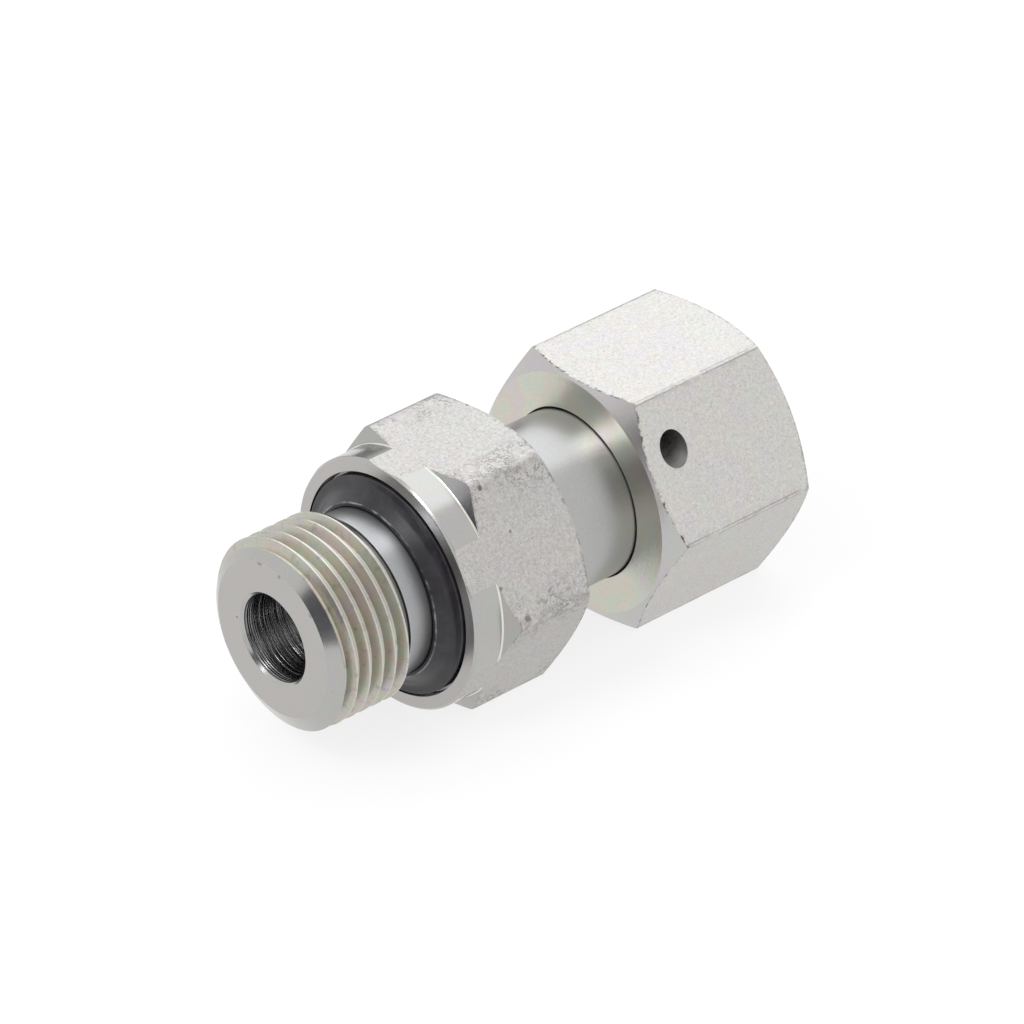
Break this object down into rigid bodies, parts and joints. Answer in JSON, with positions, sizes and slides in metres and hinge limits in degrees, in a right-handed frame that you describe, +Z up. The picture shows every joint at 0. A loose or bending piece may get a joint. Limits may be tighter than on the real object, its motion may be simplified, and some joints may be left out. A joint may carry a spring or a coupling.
{
  "type": "straight stud coupling with swivel union nut",
  "caption": "Straight port stud with a rubber-sealed collar and hexagon, and a wire-held swivel nut round its cone nose.",
  "frame": {"origin": "on the axis, in the plane of the collar's sealing face", "axes": "+X along the axis towards the swivel nut, +Z up from the flats it lies on"},
  "size_m": [0.0485, 0.025, 0.0218],
  "materials": {
    "body_steel": "zinc plated, turned and drawn, satin",
    "nut_steel": "zinc plated, turned ends, faintly iridescent",
    "wire_steel": "bright drawn",
    "o_ring_rubber": "smooth black",
    "seal_rubber": "smooth black"
  },
  "bodies": {
    "coupling_body": {"stud_body": "body_steel", "stud_seal": "seal_rubber", "retaining_wire": "wire_steel", "cone_o_ring": "o_ring_rubber"},
    "swivel_nut": {"union_nut": "nut_steel"}
  },
  "joints": [
    {"name": "nut_swivel", "type": "hinge", "parent": "coupling_body", "child": "swivel_nut", "pos_m": [0.0237, 0, 0], "axis": [1, 0, 0], "continuous": true}
  ]
}
